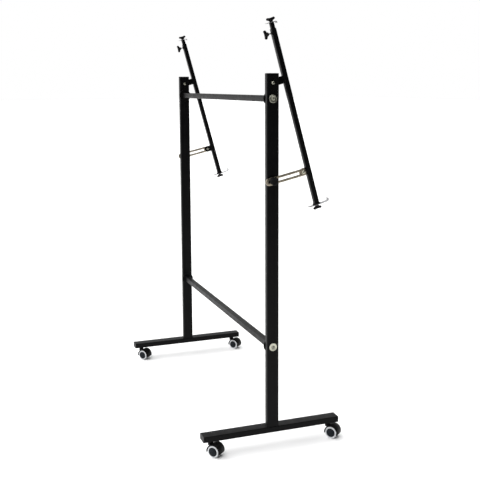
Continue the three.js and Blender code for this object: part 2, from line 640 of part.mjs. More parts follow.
function casterHousing() {
  const hood = frontPlate(sectorShape(HOOD_OUTER, HOOD_INNER), HOOD_HALF_WIDTH);
  const web = frontPlate(sectorShape((HOOD_INNER + HOOD_OUTER) / 2, 0), WEB_HALF_WIDTH);
  const hubWeb = acrossWheel(WEB_RADIUS, -WEB_HALF_WIDTH, WEB_HALF_WIDTH, 24);
  const solidNeck = turned([[NECK_BOTTOM, 0], [NECK_BOTTOM, NECK_RADIUS - NECK_TAPER / 2],
    [NECK_BOTTOM + NECK_TAPER, NECK_RADIUS], [NECK_TOP - 1, NECK_RADIUS],
    [NECK_TOP, NECK_RADIUS - 1], [NECK_TOP, 0]], Z_AXIS, SMALL_ROUND);
  const neck = combine(solidNeck, [],
    [acrossWheel((HOOD_INNER + HOOD_OUTER) / 2, -HOOD_HALF_WIDTH, HOOD_HALF_WIDTH)]);
  const stem = turned([[NECK_TOP - 2, 0], [NECK_TOP - 2, COLLAR_RADIUS],
    [CASTER_HEIGHT - GAP, COLLAR_RADIUS], [CASTER_HEIGHT - GAP, STEM_RADIUS],
    [STEM_TOP - 1, STEM_RADIUS], [STEM_TOP, STEM_RADIUS - 1], [STEM_TOP, 0]], Z_AXIS, SMALL_ROUND);
  const axleHole = acrossWheel(AXLE_RADIUS + GAP, -HOOD_HALF_WIDTH, HOOD_HALF_WIDTH, SMALL_ROUND);
  return combine(hood, [web, hubWeb, neck, stem], [axleHole]);
}

function casterAxle() {
  const end = AXLE_HALF_LENGTH;
  const tip = AXLE_RADIUS - AXLE_CHAMFER;
  return combine(turned([[-end, 0], [-end, tip], [-end + AXLE_CHAMFER, AXLE_RADIUS],
    [end - AXLE_CHAMFER, AXLE_RADIUS], [end, tip], [end, 0]], Y_AXIS, SMALL_ROUND));
}

// Wheel with a domed hub, a flat ring face and rounded tyre shoulders.
function casterWheel(side) {
  const bore = AXLE_RADIUS + GAP;
  const boreEnd = AXLE_HALF_LENGTH + GAP;
  const profile = [[boreEnd, 0], [boreEnd, bore], [WHEEL_INNER, bore],
    [WHEEL_INNER, WHEEL_RADIUS - WHEEL_INNER_CHAMFER],
    [WHEEL_INNER + WHEEL_INNER_CHAMFER, WHEEL_RADIUS],
    ...shifted(WHEEL_FACE, WHEEL_SHOULDER), [WHEEL_FACE, HUB_RADIUS],
    ...shifted(HUB_DOME, HUB_CROWN)];
  return combine(turned(profile, Y_AXIS.clone().multiplyScalar(side), 32));
}

function caster(name, x, y) {
  const group = new THREE.Group();
  group.name = `caster_${name}`;
  const body = piece(`caster_body_${name}`, casterHousing(), BLACK_PLASTIC);
  const axle = piece(`caster_axle_${name}`, casterAxle(), ZINC);
  const outer = piece(`caster_wheel_a_${name}`, casterWheel(1), WHEEL_GREY);
  const inner = piece(`caster_wheel_b_${name}`, casterWheel(-1), WHEEL_GREY);
  for (const part of [axle, outer, inner]) place(part, TRAIL, 0, WHEEL_RADIUS);
  group.add(body, axle, outer, inner);
  group.rotation.z = CASTER_HEADING * DEG;
  return place(group, x, y, 0);
}

// ---- Assembly ----

const stand = new THREE.Group();
stand.name = 'mobile_panel_stand';
stand.add(crossbar('upper', UPPER_BAR_Z), crossbar('lower', LOWER_BAR_Z));
for (const [name, side] of [['left', -1], ['right', 1]]) {
  const footX = side * UPRIGHT_X + FOOT_OFFSET;
  stand.add(sideFrame(name, side), arm(name, side), clampKnob(name, side));
  stand.add(caster(`${name}_front`, footX, -CASTER_Y), caster(`${name}_rear`, footX, CASTER_Y));
}

export default stand;
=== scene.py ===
"""Looks of the mobile panel stand: detailed pieces, finishes, light and camera on the CAD frame."""

import json
import math
import random

import bmesh
import bpy
from mathutils import Matrix, Vector


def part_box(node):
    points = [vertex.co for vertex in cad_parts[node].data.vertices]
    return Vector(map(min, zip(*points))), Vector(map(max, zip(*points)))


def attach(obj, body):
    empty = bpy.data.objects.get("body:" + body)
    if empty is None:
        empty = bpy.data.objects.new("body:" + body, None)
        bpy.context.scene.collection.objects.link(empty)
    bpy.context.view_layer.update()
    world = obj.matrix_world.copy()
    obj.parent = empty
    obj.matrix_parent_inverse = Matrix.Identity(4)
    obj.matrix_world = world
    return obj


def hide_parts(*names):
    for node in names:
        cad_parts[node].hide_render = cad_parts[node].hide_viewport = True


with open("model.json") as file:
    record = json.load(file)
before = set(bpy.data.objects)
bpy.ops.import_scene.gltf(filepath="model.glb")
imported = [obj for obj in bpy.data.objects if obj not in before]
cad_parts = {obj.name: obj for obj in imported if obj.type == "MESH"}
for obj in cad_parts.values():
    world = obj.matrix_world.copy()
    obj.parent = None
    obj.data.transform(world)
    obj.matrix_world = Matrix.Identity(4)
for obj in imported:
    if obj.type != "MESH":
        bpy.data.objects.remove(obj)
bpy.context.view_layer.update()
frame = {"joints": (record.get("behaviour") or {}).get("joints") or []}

MM = 0.001
SIDES = (("left", -1), ("right", 1))
ENDS = (("front", -1), ("rear", 1))
JOINTS = {joint["name"]: joint for joint in frame["joints"]}

# Sizes in millimetres, as the CAD has them: the side frames.
TUBE_WALL = 1.5
TUBE_CORNER = 3
TUBE_LIP = 0.25
UPRIGHT_WIDTH = 25
UPRIGHT_DEPTH = 50
UPRIGHT_SLOT_LOW = 1466
UPRIGHT_SLOT_HIGH = 1506
UPRIGHT_SLOT_RADIUS = 3
FOOT_WIDTH = 50
FOOT_HEIGHT = 25
FOOT_LENGTH = 590
FOOT_TOP = 89
PLUG_PLAY = 3.6
PLUG_WALL = 2
PLUG_CORNER = 2.3

# Crossbars.
BAR_SIZE = 25
BAR_CORNER = 2
FLANGE_RADIUS = 30
FLANGE_THICKNESS = 4
FLANGE_CHAMFER = 0.8
WASHER_RADIUS = 16
WASHER_HOLE = 4.3
WASHER_THICKNESS = 2
SCREW_RADIUS = 7
SCREW_HEIGHT = 4.4
SOCKET_RADIUS = 2.9

# Arms: heights are along the arm's own z, on which the hinge pin is at HINGE_Z.
ARM_SIZE = 20
ARM_CORNER = 2
ARM_BOTTOM = -536
ARM_TOP = 175
ARM_PLUG_SIZE = 16.4
ARM_PLUG_LENGTH = 20
ARM_PLUG_RADIUS = 16
ARM_PLUG_FLANGE = 4
EXTENSION_SIZE = 16
EXTENSION_TOP = 198
EXTENSION_BOTTOM = -402
EXTENSION_PLUG_SIZE = 13.4
EXTENSION_PLUG_LENGTH = 14
HINGE_Y = 58.5
HINGE_Z = -22.7
LUG_RADIUS = 15
LUG_THICKNESS = 4
LOCK_Z = 159
BOSS_RADIUS = 6
BOSS_HEIGHT = 3

# Stays and their rivets.
STAY_PIVOT_Y = 27
STAY_PIVOT_Z = -394.5
STAY_WIDTH = 29
STAY_THICKNESS = 3
STAY_CORNER = 4
STAY_NOSE = 9
STAY_LENGTH = 150.5
STAY_SLOT_START = 23.3
STAY_SLOT_WIDTH = 9.6
STAY_INNER = 12.8
STAY_OUTER = STAY_INNER + STAY_THICKNESS
STAY_KNOB_HEIGHT = 16.9
FLUTES = 12
FLUTE_DEPTH = 0.9
FLUTE_START = 12
FLUTE_FADE = 6
RIVET_RADIUS = 4

# Hooks and wing knobs.
HOOK_WIDTH = 20
HOOK_THICKNESS = 2
CURL_Y = -45
CURL_RADIUS = 7
LIP_Y = -19
LIP_BEND = 4
TOP_HOOK_Z = 199.3
TOP_HOOK_TRAVEL = 8
BOTTOM_HOOK_Z = -541.6
BOTTOM_HOOK_TRAVEL = 12
KNOB_GAP = 1.3
LOCK_KNOB_Y = 24
STUD_RADIUS = 3
THREAD_PITCH = 1.0
HOOK_STUD_LENGTH = 12.5
LOCK_STUD_LENGTH = 15.5

# Casters; the hood starts and ends at angles in degrees.
CASTER_Y = 260
TRAIL = 22
WHEEL_RADIUS = 25
WHEEL_FACE = 22.6
HUB_DOME = 28.3
HUB_RADIUS = 19
HOOD_INNER = 26.5
HOOD_OUTER = 29.5
HOOD_HALF_WIDTH = 24
HOOD_START = -18
HOOD_END = 188
WEB_RADIUS = 28
WEB_THICKNESS = 7
WEB_DISC_RADIUS = 20
AXLE_RADIUS = 4
AXLE_HALF_LENGTH = 20.5
STEM_RADIUS = 5

# Holes that other pieces pass through, and the play between pieces.
STUD_HOLE = 3.4
PIN_HOLE = 4.3
STEM_HOLE = 5.3
PLAY = 0.3

# Weld beads: how far their middle stands off the tube and off the face they lie on, how much
# rounder than the tube they turn its corners, their radii, ripples, and shading angle in degrees.
WELD_OUT = 0.7
WELD_UP = 0.6
WELD_CORNER = 0.6
FRAME_WELD = 1.9
BAR_WELD = 1.7
LUG_WELD = 1.5
WELD_RIPPLE = 2.4
WELD_STEP = 0.8
WELD_SHARP = 80
BEAD_SIDES = 10

# Camera, in metres, radians and millimetres of lens; the shift is a share of the frame.
CAMERA_PLACE = (-3.5447, 1.1790, 1.4758)
CAMERA_YAW = 0.3436
CAMERA_PITCH = -0.1421
CAMERA_ROLL = -0.0056
SENSOR_WIDTH = 36
FOCAL_LENGTH = 60.495
LENS_SHIFT = -0.0833

# Studio: the floor's near end lies this many metres from the stand's middle, just behind the
# camera, so that the near faces reflect a dark room.
FLOOR_NEAR_END = 4.5
FLOOR_HALF_SIZE = 40
LIGHT_TOWARD = (0.2, 0.7, 1.0)
LIGHT_SPREAD_DEGREES = 110
LIGHT_STRENGTH = 5.6
GLOW_DIRECTIONS = (-0.2, 0.8)
GLOW_STRENGTHS = (0.01, 0.66)

# Colours of the finishes in linear RGB: pairs of light and dark, then single ones.
CHAMPAGNE = ((0.66, 0.655, 0.54), (0.44, 0.435, 0.35))
SCREW_GREY = ((0.36, 0.36, 0.29), (0.20, 0.20, 0.16))
STAY_BROWN = ((0.70, 0.62, 0.48), (0.34, 0.29, 0.21))
HOOK_GREY = ((0.38, 0.38, 0.39), (0.24, 0.24, 0.25))
THREAD_GREY = ((0.14, 0.14, 0.135), (0.07, 0.07, 0.07))
PLASTIC_BLACK = ((0.006, 0.006, 0.0065), (0.0030, 0.0030, 0.0033))
# Black plastic painted lighter for the foot caps: painted light that stands in for the light the
# caps catch.
LIT_PLASTIC = ((0.034, 0.034, 0.036), (0.016, 0.016, 0.017))
HUB_BLACK = ((0.009, 0.012, 0.016), (0.0045, 0.0065, 0.009))
TYRE_GREY = ((0.68, 0.69, 0.71), (0.52, 0.54, 0.56))
PAINT_BLACK = ((0.0038, 0.0038, 0.0041), (0.0018, 0.0018, 0.0020))
FLOOR_PALE = ((0.92, 0.92, 0.92), (0.90, 0.90, 0.90))
DUST = (0.02, 0.02, 0.021)
WORN_PAINT = (0.07, 0.07, 0.072)
WORN_PLASTIC = (0.12, 0.12, 0.12)
WORN_ZINC = (0.82, 0.81, 0.78)
ZINC_SPANGLE = (0.42, 0.42, 0.4)
TYRE_GRIME = (0.28, 0.28, 0.28)


# ---- Camera ----

def make_camera():
    cos_pitch = math.cos(CAMERA_PITCH)
    forward = Vector((math.cos(CAMERA_YAW) * cos_pitch, -math.sin(CAMERA_YAW) * cos_pitch,
                      math.sin(CAMERA_PITCH)))
    level = forward.cross(Vector((0, 0, 1))).normalized()
    upward = level.cross(forward)
    right = level * math.cos(CAMERA_ROLL) + upward * math.sin(CAMERA_ROLL)
    up = upward * math.cos(CAMERA_ROLL) - level * math.sin(CAMERA_ROLL)
    data = bpy.data.cameras.new("camera")
    data.sensor_width = SENSOR_WIDTH
    data.lens = FOCAL_LENGTH
    data.shift_y = LENS_SHIFT
    data.clip_start = 0.05
    data.clip_end = 200
    camera = bpy.data.objects.new("camera", data)
    camera.matrix_world = Matrix((right, up, -forward)).transposed().to_4x4()
    camera.location = CAMERA_PLACE
    bpy.context.scene.collection.objects.link(camera)
    bpy.context.scene.camera = camera


# ---- Shapes, in millimetres ----

def arc(x, y, radius, start, end, count=12):
    angles = [math.radians(start + (end - start) * i / count) for i in range(count + 1)]
    return [(x + radius * math.cos(a), y + radius * math.sin(a)) for a in angles]


def polygon(x, y, radius, sides):
    return arc(x, y, radius, 0, 360 - 360 / sides, sides - 1)


def slot(low, high, radius, count=12):
    """Outline of a round-ended slot along y, between the middles of its ends."""
    return arc(0, high, radius, 0, 180, count) + arc(0, low, radius, 180, 360, count)


def rounded_box(width, height, corner):
    x, y = width / 2 - corner, height / 2 - corner
    return (arc(x, y, corner, 0, 90, 6) + arc(-x, y, corner, 90, 180, 6)
            + arc(-x, -y, corner, 180, 270, 6) + arc(x, -y, corner, 270, 360, 6))


def soften(points, steps=4):
    """Copy of an open outline of (x, y) or (x, y, radius) points, curved where a radius is."""
    made = []
    for i, point in enumerate(points):
        here = Vector(point[:2])
        if len(point) < 3:
            made.append(tuple(here))
            continue
        to_before = (Vector(points[i - 1][:2]) - here).normalized()
        to_after = (Vector(points[i + 1][:2]) - here).normalized()
        half = to_before.angle(to_after) / 2
        reach = point[2] / math.tan(half)
        first, last = here + to_before * reach, here + to_after * reach
        for step in range(steps + 1):
            t = step / steps
            made.append(tuple(first * (1 - t) ** 2 + here * 2 * t * (1 - t) + last * t ** 2))
    return made


def mesh_from(bm):
    bmesh.ops.recalc_face_normals(bm, faces=bm.faces)
    mesh = bpy.data.meshes.new("shape")
    bm.to_mesh(mesh)
    bm.free()
    return mesh


def lathe(profile, segments=64, start=0, end=360, flutes=0, flute_depth=0.0):
    """Turned body about z from (radius, z) points; a part turn is closed at both ends.

    Flutes run along z, and fade in from FLUTE_START outwards.
    """
    bm = bmesh.new()
    whole = end - start >= 360
    count = segments if whole else segments + 1
    rings = []
    for radius, z in profile:
        if radius < 1e-6 and whole:
            rings.append([bm.verts.new((0, 0, z))])
            continue
        ring = []
        for i in range(count):
            angle = math.radians(start + (end - start) * i / segments)
            dip = flute_depth * (0.5 + 0.5 * math.cos(flutes * angle)) if flutes else 0
            r = radius - dip * min(1, max(0, radius - FLUTE_START) / FLUTE_FADE)
            ring.append(bm.verts.new((r * math.cos(angle), r * math.sin(angle), z)))
        rings.append(ring)
    for low, high in zip(rings, rings[1:]):
        for i in range(segments):
            j = (i + 1) % count
            corners = [low[i % len(low)], low[j % len(low)], high[j % len(high)],
                       high[i % len(high)]]
            unique = list(dict.fromkeys(corners))
            if len(unique) > 2:
                bm.faces.new(unique)
    if not whole:
        bm.faces.new([ring[0] for ring in rings[:-1]])
        bm.faces.new([ring[-1] for ring in rings[:-1]])
        bmesh.ops.remove_doubles(bm, verts=bm.verts, dist=1e-5)
    return mesh_from(bm)


def plate(loops, thickness, edge):
    """Flat plate about z = 0 with rounded edges, from an outline and its holes."""
    curve = bpy.data.curves.new("plate", "CURVE")
    curve.dimensions = "2D"
    curve.fill_mode = "BOTH"
    curve.extrude = thickness / 2 - edge
    curve.bevel_depth = edge
    curve.bevel_resolution = 3
    curve.offset = -edge
    for loop in loops:
        spline = curve.splines.new("POLY")
        spline.points.add(len(loop) - 1)
        for point, (x, y) in zip(spline.points, loop):
            point.co = (x, y, 0, 1)
        spline.use_cyclic_u = True
    mesh = evaluated_mesh(bpy.data.objects.new("plate", curve))
    bm = bmesh.new()
    bm.from_mesh(mesh)
    bmesh.ops.remove_doubles(bm, verts=bm.verts, dist=1e-3)
    return mesh_from(bm)


def box_plate(width, height, corner, thickness, edge):
    return plate([rounded_box(width, height, corner)], thickness, edge)


def plate_cutter(outline, thickness):
    return plate([outline], thickness, 0.01)


def evaluated_mesh(obj):
    """The mesh of an object with its modifiers applied; the object is removed."""
    bpy.context.scene.collection.objects.link(obj)
    depsgraph = bpy.context.evaluated_depsgraph_get()
    mesh = bpy.data.meshes.new_from_object(obj.evaluated_get(depsgraph))
    bpy.data.objects.remove(obj)
    return mesh


def hollow_bar(width, depth, wall, corner, low, high):
    """Square or rectangular tube along z, open at both ends."""
    bm = bmesh.new()
    outer = rounded_box(width, depth, corner)
    inner = rounded_box(width - 2 * wall, depth - 2 * wall, max(corner - wall, 0.4))
    lip = TUBE_LIP
    inside = 2 * (lip - wall)
    inside_lip = rounded_box(width + inside, depth + inside, corner - wall + lip)
    outside_lip = rounded_box(width - 2 * lip, depth - 2 * lip, corner - lip)
    stack = [(outer, low + lip), (outer, high - lip), (outside_lip, high), (inside_lip, high),
             (inner, high - lip), (inner, low + lip), (inside_lip, low), (outside_lip, low)]
    rings = [[bm.verts.new((x, y, z)) for x, y in loop] for loop, z in stack]
    for first, second in zip(rings, rings[1:] + rings[:1]):
        for i in range(len(first)):
            j = (i + 1) % len(first)
            bm.faces.new((first[i], first[j], second[j], second[i]))
    return mesh_from(bm)


def moved(mesh, matrix):
    mesh.transform(matrix)
    if matrix.determinant() < 0:
        mesh.flip_normals()
    return mesh


def lifted(mesh, z):
    return moved(mesh, lift(z))


def lift(z):
    return Matrix.Translation((0, 0, z))


def boolean(base, tools, operation="DIFFERENCE"):
    obj = bpy.data.objects.new("base", base)
    helpers = []
    for tool in tools:
        helper = bpy.data.objects.new("tool", tool)
        bpy.context.scene.collection.objects.link(helper)
        helpers.append(helper)
        modifier = obj.modifiers.new("cut", "BOOLEAN")
        modifier.operation = operation
        modifier.object = helper
        modifier.solver = "EXACT"
    mesh = evaluated_mesh(obj)
    for helper in helpers:
        bpy.data.objects.remove(helper)
    return mesh


def cylinder(radius, low, high, segments=32):
    return lathe([(0, low), (radius, low), (radius, high), (0, high)], segments)


def disc(radius, low, high, chamfer, segments=64):
    """Cylinder about z with chamfered rims."""
    return lathe([(0, low), (radius - chamfer, low), (radius, low + chamfer),
                  (radius, high - chamfer), (radius - chamfer, high), (0, high)], segments)


def wall_cutter(radius, size, place):
    """Cutter for a round hole in one wall of a tube, the wall that place turns z to."""
    return moved(cylinder(radius, size / 2 - 2 * TUBE_WALL, size / 2 + 1), place)


def moulded(meshes, voxel, passes):
    """Several overlapping bodies melted into one soft-edged moulding."""
    obj = bpy.data.objects.new("moulding", joined(meshes))
    remesh = obj.modifiers.new("remesh", "REMESH")
    remesh.mode = "VOXEL"
    remesh.voxel_size = voxel
    smooth = obj.modifiers.new("smooth", "SMOOTH")
    smooth.iterations = passes
    smooth.factor = 0.5
    fewer = obj.modifiers.new("fewer", "DECIMATE")
    fewer.ratio = 0.35
    return evaluated_mesh(obj)


def joined(meshes):
    bm = bmesh.new()
    for mesh in meshes:
        bm.from_mesh(mesh)
    mesh = bpy.data.meshes.new("shape")
    bm.to_mesh(mesh)
    bm.free()
    return mesh


def bead(path, radius, closed=True):
    """Weld bead along a path of points: a round strip with the ripples of each weld pool."""
    random.seed(len(path))
    points = [Vector(p) for p in path]
    bm = bmesh.new()
    rings = []
    count = len(points)
    travelled = 0.0
    side = None
    for i, point in enumerate(points):
        before = points[i - 1] if closed or i else point
        after = points[(i + 1) % count] if closed or i < count - 1 else point
        along = (after - before).normalized()
        travelled += (point - points[i - 1]).length if i else 0
        if side is None:
            side = along.orthogonal().normalized()
        side = (side - along * side.dot(along)).normalized()
        other = along.cross(side)
        size = radius * (0.92 + 0.1 * math.sin(2 * math.pi * travelled / WELD_RIPPLE)
                         + 0.08 * random.random())
        if not closed and i in (0, count - 1):
            size *= 0.45
        turns = [2 * math.pi * k / BEAD_SIDES for k in range(BEAD_SIDES)]
        rings.append([bm.verts.new(point + size * (side * math.cos(t) + other * math.sin(t)))
                      for t in turns])
    pairs = list(zip(rings, rings[1:] + rings[:1])) if closed else list(zip(rings, rings[1:]))
    for first, second in pairs:
        for i in range(BEAD_SIDES):
            j = (i + 1) % BEAD_SIDES
            bm.faces.new((first[i], first[j], second[j], second[i]))
    if not closed:
        bm.faces.new(rings[0])
        bm.faces.new(rings[-1])
    return mesh_from(bm)


def spaced(path, closed=True):
    """Points a weld step apart along a path of straight stretches."""
    points = [Vector(p) for p in path]
    ends = points[1:] + points[:1] if closed else points[1:]
    made = []
    for start, end in zip(points, ends):
        count = max(1, round((end - start).length / WELD_STEP))
        made += [start.lerp(end, i / count) for i in range(count)]
    return made if closed else made + [points[-1]]


# ---- Placing ----

# Turns of a shape's own axes; a plate on edge has its outline in the y-z plane.
Z_TO_Y = Matrix.Rotation(-math.pi / 2, 4, "X")
Z_TO_MINUS_Y = Matrix.Rotation(math.pi / 2, 4, "X")
Z_TO_MINUS_Z = Matrix.Rotation(math.pi, 4, "X")
PLATE_ON_EDGE = Matrix(((0, 0, 1, 0), (1, 0, 0, 0), (0, 1, 0, 0), (0, 0, 0, 1)))


def facing(side):
    """Turns the z axis to the outboard side."""
    return Matrix.Rotation(side * math.pi / 2, 4, "Y")


def frame_at(origin, z_axis, y_hint):
    """Matrix from a piece's own millimetres to the stand's metres, with y near a direction."""
    z = Vector(z_axis).normalized()
    y = Vector(y_hint)
    y = (y - z * y.dot(z)).normalized()
    matrix = Matrix((y.cross(z), y, z)).transposed().to_4x4()
    matrix.translation = Vector(origin)
    return matrix @ Matrix.Scale(MM, 4)


def add_piece(name, mesh, matrix, body, finish, node=None, sharp=35):
    """Makes a piece of the stand that rides on a body and, if a node is given, stands for it.

    Edges that turn by more than sharp, in degrees, are shaded as edges.
    """
    moved(mesh, matrix)
    mesh.materials.clear()
    mesh.materials.append(finish)
    mesh.shade_smooth()
    mesh.set_sharp_from_angle(angle=math.radians(sharp))
    obj = bpy.data.objects.new(name, mesh)
    mesh.name = name
    bpy.context.scene.collection.objects.link(obj)
    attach(obj, body)
    if node:
        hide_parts(node)


# ---- Finishes ----

class Finish:
    """A Principled material with short calls for the nodes that the finishes use."""

    def __init__(self, name):
        self.material = bpy.data.materials.new(name)
        self.material.use_nodes = True
        self.nodes = self.material.node_tree.nodes
        self.links = self.material.node_tree.links
        self.shader = self.nodes["Principled BSDF"]
        self.place = self.nodes.new("ShaderNodeTexCoord").outputs["Object"]

    def set(self, **values):
        for key, value in values.items():
            self.shader.inputs[key.replace("_", " ")].default_value = value

    def noise(self, scale, detail, stretch=None):
        node = self.nodes.new("ShaderNodeTexNoise")
        node.inputs["Scale"].default_value = scale
        node.inputs["Detail"].default_value = detail
        vector = self.place
        if stretch:
            mapping = self.nodes.new("ShaderNodeMapping")
            mapping.inputs["Scale"].default_value = stretch
            self.links.new(vector, mapping.inputs["Vector"])
            vector = mapping.outputs["Vector"]
        self.links.new(vector, node.inputs["Vector"])
        return node.outputs["Fac"]

    def cells(self, scale):
        node = self.nodes.new("ShaderNodeTexVoronoi")
        node.inputs["Scale"].default_value = scale
        self.links.new(self.place, node.inputs["Vector"])
        return node.outputs["Color"]

    def ramp(self, value, low, high, out_low=0.0, out_high=1.0):
        node = self.nodes.new("ShaderNodeMapRange")
        for key, number in (("From Min", low), ("From Max", high), ("To Min", out_low),
                            ("To Max", out_high)):
            node.inputs[key].default_value = number
        self.links.new(value, node.inputs["Value"])
        return node.outputs["Result"]

    def multiply(self, a, b):
        node = self.nodes.new("ShaderNodeMath")
        node.operation = "MULTIPLY"
        self.links.new(a, node.inputs[0])
        if isinstance(b, (int, float)):
            node.inputs[1].default_value = b
        else:
            self.links.new(b, node.inputs[1])
        return node.outputs[0]

    def mix(self, factor, first, second):
        node = self.nodes.new("ShaderNodeMix")
        node.data_type = "RGBA"
        self.links.new(factor, node.inputs["Factor"])
        for socket, colour in ((node.inputs["A"], first), (node.inputs["B"], second)):
            if isinstance(colour, tuple):
                socket.default_value = (*colour, 1)
            else:
                self.links.new(colour, socket)
        return node.outputs["Result"]

    def edges(self, radius):
        """1 where the surface turns sharply within radius, in metres."""
        soft = self.nodes.new("ShaderNodeBevel")
        soft.samples = 4
        soft.inputs["Radius"].default_value = radius
        plain = self.nodes.new("ShaderNodeNewGeometry")
        dot = self.nodes.new("ShaderNodeVectorMath")
        dot.operation = "DOT_PRODUCT"
        self.links.new(soft.outputs["Normal"], dot.inputs[0])
        self.links.new(plain.outputs["Normal"], dot.inputs[1])
        return self.ramp(dot.outputs["Value"], 0.985, 0.86)

    def upward(self):
        """1 on surfaces that face up, where dust settles."""
        plain = self.nodes.new("ShaderNodeNewGeometry")
        split = self.nodes.new("ShaderNodeSeparateXYZ")
        self.links.new(plain.outputs["Normal"], split.inputs["Vector"])
        return self.ramp(split.outputs["Z"], 0.55, 0.95)

    def bump(self, *heights):
        """Surface relief from (height, depth in metres) pairs."""
        normal = None
        for height, depth in heights:
            node = self.nodes.new("ShaderNodeBump")
            node.inputs["Strength"].default_value = 1.0
            node.inputs["Distance"].default_value = depth
            self.links.new(height, node.inputs["Height"])
            if normal:
                self.links.new(normal, node.inputs["Normal"])
            normal = node.outputs["Normal"]
        self.links.new(normal, self.shader.inputs["Normal"])

    def feed(self, value, key):
        self.links.new(value, self.shader.inputs[key])


def powder_coat():
    finish = Finish("black_powder_coat")
    cloudy = finish.noise(9, 3)
    light, dark = PAINT_BLACK
    colour = finish.mix(cloudy, dark, light)
    dust = finish.multiply(finish.upward(), finish.ramp(finish.noise(60, 6), 0.35, 0.7))
    colour = finish.mix(finish.multiply(dust, 0.3), colour, DUST)
    wear = finish.multiply(finish.edges(0.0008), finish.ramp(finish.noise(140, 5), 0.45, 0.7))
    colour = finish.mix(finish.multiply(wear, 0.6), colour, WORN_PAINT)
    finish.feed(colour, "Base Color")
    finish.feed(finish.ramp(finish.noise(35, 4), 0.3, 0.7, 0.30, 0.42), "Roughness")
    finish.set(Metallic=0.0, Specular_IOR_Level=0.08)
    finish.bump((finish.noise(620, 2), 0.00012), (finish.noise(2400, 2), 0.00003))
    return finish.material


def zinc(name, colours, spangle_scale=320):
    finish = Finish(name)
    light, dark = colours
    spangle = finish.cells(spangle_scale)
    cloudy = finish.noise(45, 4)
    colour = finish.mix(finish.ramp(cloudy, 0.35, 0.68), dark, light)
    grey = finish.mix(finish.ramp(spangle, 0.2, 0.9, 0.0, 0.25), colour, ZINC_SPANGLE)
    wear = finish.multiply(finish.edges(0.0006), finish.ramp(finish.noise(220, 4), 0.4, 0.65))
    finish.feed(finish.mix(finish.multiply(wear, 0.7), grey, WORN_ZINC), "Base Color")
    finish.feed(finish.ramp(finish.noise(160, 5), 0.3, 0.7, 0.26, 0.46), "Roughness")
    finish.set(Metallic=1.0)
    lines = finish.noise(500, 3, stretch=(1.0, 0.08, 1.0))
    finish.bump((lines, 0.00004), (finish.noise(1500, 3), 0.00002))
    return finish.material


def moulded_plastic(name, colours, roughness=0.5):
    finish = Finish(name)
    light, dark = colours
    finish.set(Specular_IOR_Level=0.1)
    colour = finish.mix(finish.noise(80, 5), dark, light)
    scuffs = finish.ramp(finish.noise(240, 6, stretch=(1, 3, 1)), 0.62, 0.75)
    worn = finish.multiply(finish.edges(0.001), scuffs)
    finish.feed(finish.mix(finish.multiply(worn, 0.5), colour, WORN_PLASTIC), "Base Color")
    finish.feed(finish.ramp(finish.noise(90, 4), 0.3, 0.7, roughness - 0.07, roughness + 0.07),
                "Roughness")
    finish.bump((finish.noise(1800, 2), 0.00005), (finish.noise(350, 2), 0.00003))
    return finish.material


def tyre_grey():
    finish = Finish("tyre_grey")
    light, dark = TYRE_GREY
    colour = finish.mix(finish.ramp(finish.noise(55, 6), 0.35, 0.7), dark, light)
    grime = finish.ramp(finish.noise(180, 6), 0.55, 0.8, 0.0, 0.45)
    finish.feed(finish.mix(grime, colour, TYRE_GRIME), "Base Color")
    finish.feed(finish.ramp(finish.noise(120, 3), 0.3, 0.7, 0.5, 0.68), "Roughness")
    finish.bump((finish.noise(900, 3), 0.00006),)
    return finish.material


def floor_finish():
    finish = Finish("pale_floor")
    light, dark = FLOOR_PALE
    finish.feed(finish.mix(finish.noise(1.5, 3), dark, light), "Base Color")
    finish.set(Roughness=0.9)
    return finish.material


# ---- Side frames ----

def side_frames(paint, cap_plastic, painted_lit_plastic):
    for name, side in SIDES:
        low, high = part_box(f"upright_{name}")
        base, top = low.z / MM, high.z / MM
        here = frame_at(((low.x + high.x) / 2, 0, 0), (0, 0, 1), (0, 1, 0))
        upright(name, side, here, base, top, paint)
        add_piece(f"upright_cap_{name}_moulding", upright_cap(top), here, "frame", cap_plastic,
                  f"upright_cap_{name}")
        foot(name, paint)
        # The caps get the lighter copy of the black plastic, painted light for the light they
        # catch.
        foot_caps(name, painted_lit_plastic)
        add_piece(f"upright_weld_{name}", upright_weld(), here, "frame", paint, sharp=WELD_SHARP)


def upright(name, side, here, base, top, paint):
    """Tube with a slot in front for the arm's lug and an outboard hole for the clamp's stud."""
    tube = hollow_bar(UPRIGHT_WIDTH, UPRIGHT_DEPTH, TUBE_WALL, TUBE_CORNER, base, top)
    outline = slot(UPRIGHT_SLOT_LOW, UPRIGHT_SLOT_HIGH, UPRIGHT_SLOT_RADIUS)
    lug_slot = moved(plate_cutter(outline, 12), Z_TO_MINUS_Y)
    lug_slot = moved(lug_slot, Matrix.Translation((0, -UPRIGHT_DEPTH / 2, 0)))
    stud_z = JOINTS[f"clamp_turn_{name}"]["pos_m"][2] / MM
    stud_hole = wall_cutter(STUD_HOLE, UPRIGHT_WIDTH, lift(stud_z) @ facing(side))
    add_piece(f"upright_{name}_tube", boolean(tube, [lug_slot, stud_hole]), here, "frame", paint,
              f"upright_{name}")


def upright_weld():
    """Bead round the three sides of an upright that stand in from the foot's edge."""
    x, y = UPRIGHT_WIDTH / 2 + WELD_OUT, UPRIGHT_DEPTH / 2 + WELD_OUT
    corner = TUBE_CORNER + WELD_CORNER
    corners = (arc(x - corner, y - corner, corner, 90, 0, 6)
               + arc(x - corner, corner - y, corner, 0, -90, 6))
    start = 2 - UPRIGHT_WIDTH / 2
    path = [(start, y), *corners, (start, -y)]
    points = [(px, py, FOOT_TOP + WELD_UP) for px, py in path]
    return bead(spaced(points, closed=False), FRAME_WELD, closed=False)


def cap_plug(width, height, low, high):
    """Hollow plug that holds a cap in a tube of that width and height."""
    return hollow_bar(width - PLUG_PLAY, height - PLUG_PLAY, PLUG_WALL, PLUG_CORNER, low, high)


